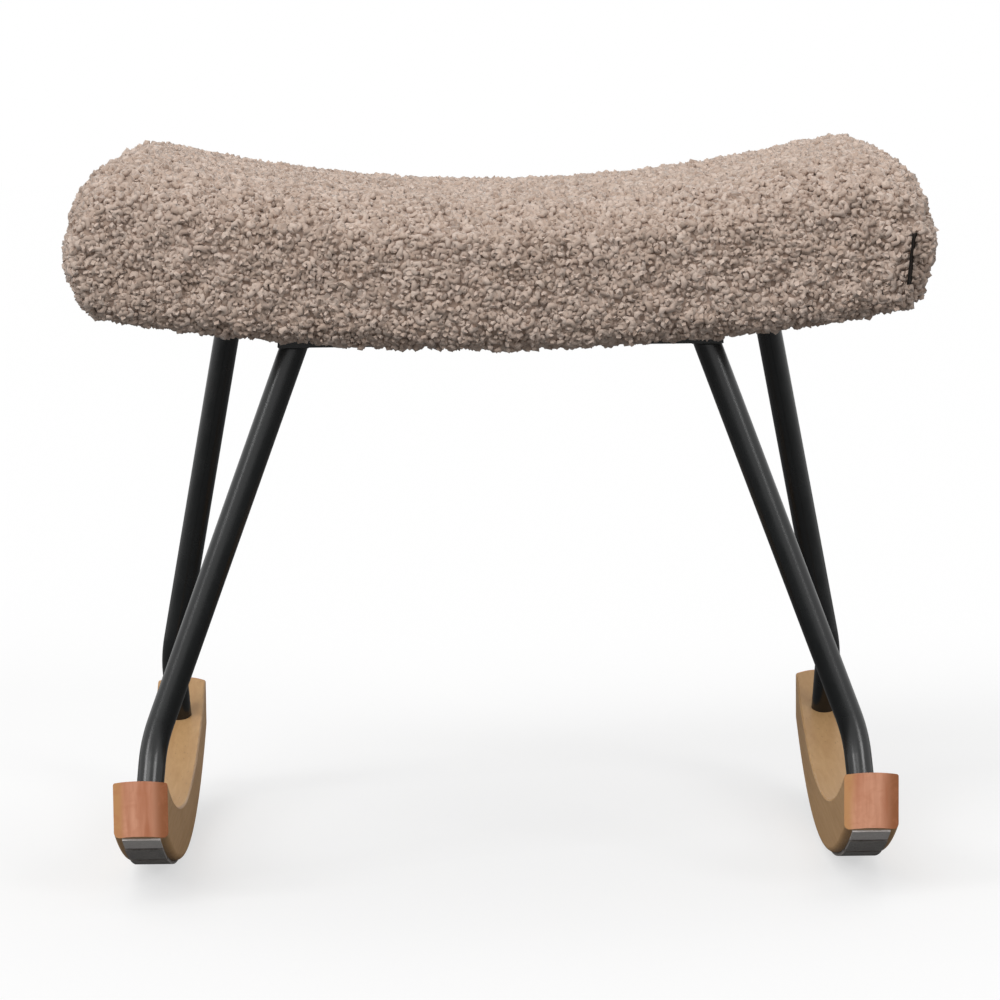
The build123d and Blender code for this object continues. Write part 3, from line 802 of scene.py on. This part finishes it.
# %% [markdown]
# ## Cloth under the seat
# A black cloth closes the opening inside the hem. A simulation would hardly move it, because it
# lies on the board everywhere. So its cut, with the bolt holes, is filled with fine triangles, bent
# to the board and pushed into the shallow puckers that run in from a stapled edge.

# %% The cut of the dust cover
cloth_step, hole_corners = 0.007, 15
bolt_head_radius, bolt_hole_radius = 0.005, 0.0033
cloth_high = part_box("dust_cover")[1]
bolt_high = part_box("seat_bolts")[1]
bolt_x, bolt_y = bolt_high.x - bolt_head_radius, bolt_high.y - bolt_head_radius
bolt_holes = [Vector((x, y)) for x in (-bolt_x, bolt_x) for y in (-bolt_y, bolt_y)]


def rounded_outline(half_x, half_y, corner):
    """Points round a rectangle with round corners."""
    outline = []
    for sign_x, sign_y, start in ((1, 1, 0), (-1, 1, 90), (-1, -1, 180), (1, -1, 270)):
        for step in range(corner_steps + 1):
            angle = radians(start + 90 * step / corner_steps)
            outline.append((sign_x * (half_x - corner) + corner * cos(angle),
                            sign_y * (half_y - corner) + corner * sin(angle)))
    return outline


def divided(loop):
    """The loop with points added along its long edges."""
    found = []
    for i, point in enumerate(loop):
        after = loop[(i + 1) % len(loop)]
        steps = max(1, round((after - point).length / cloth_step))
        found += [point.lerp(after, step / steps) for step in range(steps)]
    return found


def cut_of_dust_cover():
    """Flat triangles of the cut, without its holes."""
    corners = rounded_outline(cloth_high.x, cloth_high.y, board_corner)
    loops = [divided([Vector(p) for p in corners])]
    for centre in bolt_holes:
        loops.append([
            centre + bolt_hole_radius * Vector((cos(2 * pi * i / hole_corners),
                                                sin(2 * pi * i / hole_corners)))
            for i in range(hole_corners)])
    points, edges = [], []
    for loop in loops:
        first, count = len(points), len(loop)
        points += loop
        edges += [(first + i, first + (i + 1) % count) for i in range(count)]
    columns, rows = int(cloth_high.x / cloth_step), int(cloth_high.y / cloth_step)
    inner_x, inner_y = cloth_high.x - cloth_step, cloth_high.y - cloth_step
    for row in range(-rows, rows + 1):
        for column in range(-columns, columns + 1):
            point = Vector((column + row % 2 / 2, row)) * cloth_step
            clear = all((point - hole).length > 2 * bolt_hole_radius for hole in bolt_holes)
            if clear and abs(point.x) < inner_x and abs(point.y) < inner_y:
                points.append(point)
    points, _, faces, *_ = delaunay_2d_cdt(points, edges, [], 1, 1e-6)
    middle = [sum((points[i] for i in face), Vector((0, 0))) / len(face) for face in faces]
    kept = [face for face, m in zip(faces, middle)
            if all((m - hole).length > bolt_hole_radius for hole in bolt_holes)]
    return points, kept


flat_points, flat_faces = cut_of_dust_cover()
print("cut", len(flat_points), "points", len(flat_faces), "faces")

# %% Hang the dust cover
cloth_thickness, cloth_gap = 0.0005, 0.0001
pucker_height, pucker_length, pucker_reach = 0.0004, 0.021, 0.018

hung_points = []
for x, y in flat_points:
    edge = min(cloth_high.x - abs(x), cloth_high.y - abs(y))
    round_edge = (x if cloth_high.y - abs(y) < cloth_high.x - abs(x) else y) / pucker_length
    pucker = pucker_height * exp(-edge / pucker_reach) * (0.5 + 0.5 * sin(2 * pi * round_edge))
    hung_points.append((x, y, float(sag_of(x)) - cloth_gap - cloth_thickness / 2 - pucker))
cloth_mesh = bpy.data.meshes.new("dust_cloth")
cloth_mesh.from_pydata(hung_points, [], flat_faces)
dust_cloth = mesh_object("dust_cloth", cloth_mesh)


def thicken(piece, thickness):
    """Give a thin piece its two sides and close its edge."""
    solid = piece.modifiers.new("thickness", "SOLIDIFY")
    solid.thickness, solid.offset = thickness, 0
    apply_modifiers(piece)
    piece.data.polygons.foreach_set("use_smooth", [True] * len(piece.data.polygons))


thicken(dust_cloth, cloth_thickness)

fleece = Finish("black_cloth", roughness=0.85, sheen_weight=0.2, sheen_roughness=0.5)
threads = fleece.noise(0.0012, detail=5, roughness=0.7, distortion=2.0)
fleece.feed("Base Color", fleece.mix(threads, (0.010, 0.010, 0.011), (0.034, 0.033, 0.033)))
fleece.feed("Normal", fleece.bump(threads, 0.0002))
dust_cloth.data.materials.append(fleece.material)
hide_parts("dust_cover")
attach(dust_cloth, "root")
print(fleece.material.name, "on", dust_cloth.name)

# %% [markdown]
# A folded woven tag is sewn into the seam at the right front. It is one strip of satin, doubled, so
# it is modelled as one strip that goes out, turns round a small fold and comes back.

# %% Tag in the seam
tag_low, tag_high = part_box("side_tag")
tag_rows, tag_steps, fold_steps = 12, 5, 6
satin_thickness, tag_gap, tag_bow = 0.0004, 0.0006, 0.0006
tag_turn, tag_lean = radians(18), radians(6.5)
tag_length = tag_high.y - tag_low.y
tag_line = [(-tag_gap / 2, -tag_length * i / tag_steps) for i in range(tag_steps)]
tag_line += [(-tag_gap / 2 * cos(pi * i / fold_steps),
              -tag_length - tag_gap / 2 * sin(pi * i / fold_steps))
             for i in range(fold_steps + 1)]
tag_line += [(tag_gap / 2, -tag_length * i / tag_steps) for i in range(tag_steps - 1, -1, -1)]
tag_middle = (tag_low + tag_high) / 2
tag_points, tag_faces = [], []
for row in range(tag_rows + 1):
    up_tag = (row / tag_rows - 0.5) * (tag_high.z - tag_low.z)
    for x, y in tag_line:
        x += tag_bow * sin(pi * row / tag_rows) * sin(pi * y / tag_length)
        tag_points.append((
            tag_middle.x + x * cos(tag_turn) + y * sin(tag_turn) + up_tag * sin(tag_lean),
            tag_high.y - x * sin(tag_turn) + y * cos(tag_turn),
            tag_middle.z + up_tag))
columns = len(tag_line)
for row in range(tag_rows):
    for i in range(columns - 1):
        first = row * columns + i
        tag_faces.append((first, first + 1, first + columns + 1, first + columns))
tag_mesh = bpy.data.meshes.new("woven_tag")
tag_mesh.from_pydata(tag_points, [], tag_faces)
woven_tag = mesh_object("woven_tag", tag_mesh)
thicken(woven_tag, satin_thickness)
print("tag", len(woven_tag.data.polygons), "faces")

satin_rib = 0.0005             # from one rib of the weave to the next
satin = Finish("woven_satin", roughness=0.6, specular_ior_level=0.1)
ribs = satin.add("ShaderNodeSeparateXYZ", {}, {0: satin.place}, output="Z") * (2 * pi / satin_rib)
ribs = ribs.math("SINE", ribs) * 0.5 + 0.5
satin.feed("Base Color", satin.mix(satin.noise(0.0008, detail=3),
                                   (0.006, 0.0045, 0.004), (0.018, 0.014, 0.012)))
satin.feed("Normal", satin.bump(ribs, 0.00005))
woven_tag.data.materials.append(satin.material)
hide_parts("side_tag")
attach(woven_tag, "root")
print(satin.material.name, "on", woven_tag.name)

# %% [markdown]
# ## Weld beads
# The frame is welded, and a bare butt joint between tube and rail would look glued. A bead is a
# rippled rope of metal along the joint. The joints are found in the CAD itself: the highest ring of
# points of each leg, and the ends of the side rails.

# %% A tree for weld beads
ripple_points, bead_sides = 5, 8
weld = Geometry("weld_bead", Radius=0.0013, Ripple=0.0021, Ripple_Share=0.16, Coat=coat.material)
path = weld.add("GeometryNodeMeshToCurve", {}, {"Mesh": weld.given})
path = weld.add("GeometryNodeResampleCurve", {"mode": "LENGTH"}, {
    "Curve": path, "Length": weld.size("Ripple") / ripple_points})
phase = weld.add("GeometryNodeSplineParameter", output="Length") * (2 * pi) / weld.size("Ripple")
path = weld.add("GeometryNodeSetCurveRadius", {}, {
    "Curve": path, "Radius": phase.math("SINE", phase) * weld.size("Ripple_Share") + 1})
bead_profile = weld.add("GeometryNodeCurvePrimitiveCircle", {}, {
    "Resolution": bead_sides, "Radius": weld.size("Radius")})
bead = weld.add("GeometryNodeCurveToMesh", {}, {
    "Curve": path, "Profile Curve": bead_profile, "Fill Caps": True})
weld.finish(bead, weld.size("Coat"))
print("tree", weld.group.name, "has", len(weld.nodes), "nodes")

# %% Weld beads along the joints
ring_tolerance = 0.00005       # how level the points of a leg's top ring are
ring_parting = 0.0075          # between the radius of the tube's bore and that of its outside
bead_margin = 0.001            # between a bead's end and the rail's edge
rail_low, rail_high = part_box("left_side_rail")
bead_points, bead_edges = [], []


def add_path(points, closed):
    """One more line for a bead to follow."""
    first, count = len(bead_points), len(points)
    bead_points.extend(points)
    bead_edges.extend((first + i, first + (i + 1) % count)
                      for i in range(count if closed else count - 1))


for leg in ("front_left_leg", "front_right_leg", "rear_left_leg", "rear_right_leg"):
    points = points_of(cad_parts[leg].data)
    top_ring = points[points[:, 2] > points[:, 2].max() - ring_tolerance]
    centre = (top_ring.max(axis=0) + top_ring.min(axis=0)) / 2
    outer = top_ring[np.linalg.norm(top_ring - centre, axis=1) > ring_parting]
    angles = np.arctan2(*(outer - centre)[:, 1::-1].T)
    _, order = np.unique(np.round(angles, 3), return_index=True)
    add_path([tuple(outer[i]) for i in order], True)
for x_low, x_high in ((rail_low.x, rail_high.x), (-rail_high.x, -rail_low.x)):
    for y in (rail_low.y, rail_high.y):
        add_path([(x_low + bead_margin, y, rail_low.z), (x_high - bead_margin, y, rail_low.z)],
                 False)
bead_mesh = bpy.data.meshes.new("weld_beads")
bead_mesh.from_pydata(bead_points, bead_edges, [])
beads = mesh_object("weld_beads", bead_mesh)
weld.grow(beads)
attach(beads, "root")
print("beads", len(beads.data.polygons), "faces")

# %% [markdown]
# ## Dress, hide and attach
# The hard nodes keep their own meshes and only take their finish here.

# %% Dress the hard pieces
finishes = (
    (wood.material, ("left_rocker", "right_rocker")),
    (dark_felt, ("left_floor_strip", "right_floor_strip", "left_end_felts", "right_end_felts")),
    (pale_felt, ("left_tip_pads", "right_tip_pads")),
    (coat.material, ("front_left_leg", "front_right_leg", "rear_left_leg", "rear_right_leg",
                     "front_cross_rail", "rear_cross_rail", "left_side_rail", "right_side_rail")),
    (zinc.material, ("rocker_bolts", "rocker_washers", "tee_nuts", "seat_bolts", "seat_washers",
                     "cover_staples")),
    (plastic.material, ("leg_plugs", "seat_spacers")),
    (ply.material, ("seat_board",)),
)
for material, nodes in finishes:
    for node in nodes:
        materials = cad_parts[node].data.materials
        materials.clear()
        materials.append(material)
print("dressed", sum(len(nodes) for _, nodes in finishes), "nodes")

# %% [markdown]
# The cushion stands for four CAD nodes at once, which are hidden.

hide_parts("cover_wrap", "left_cover_end", "right_cover_end", "foam_block")
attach(cushion, "root")
print(cushion.name, "declared")
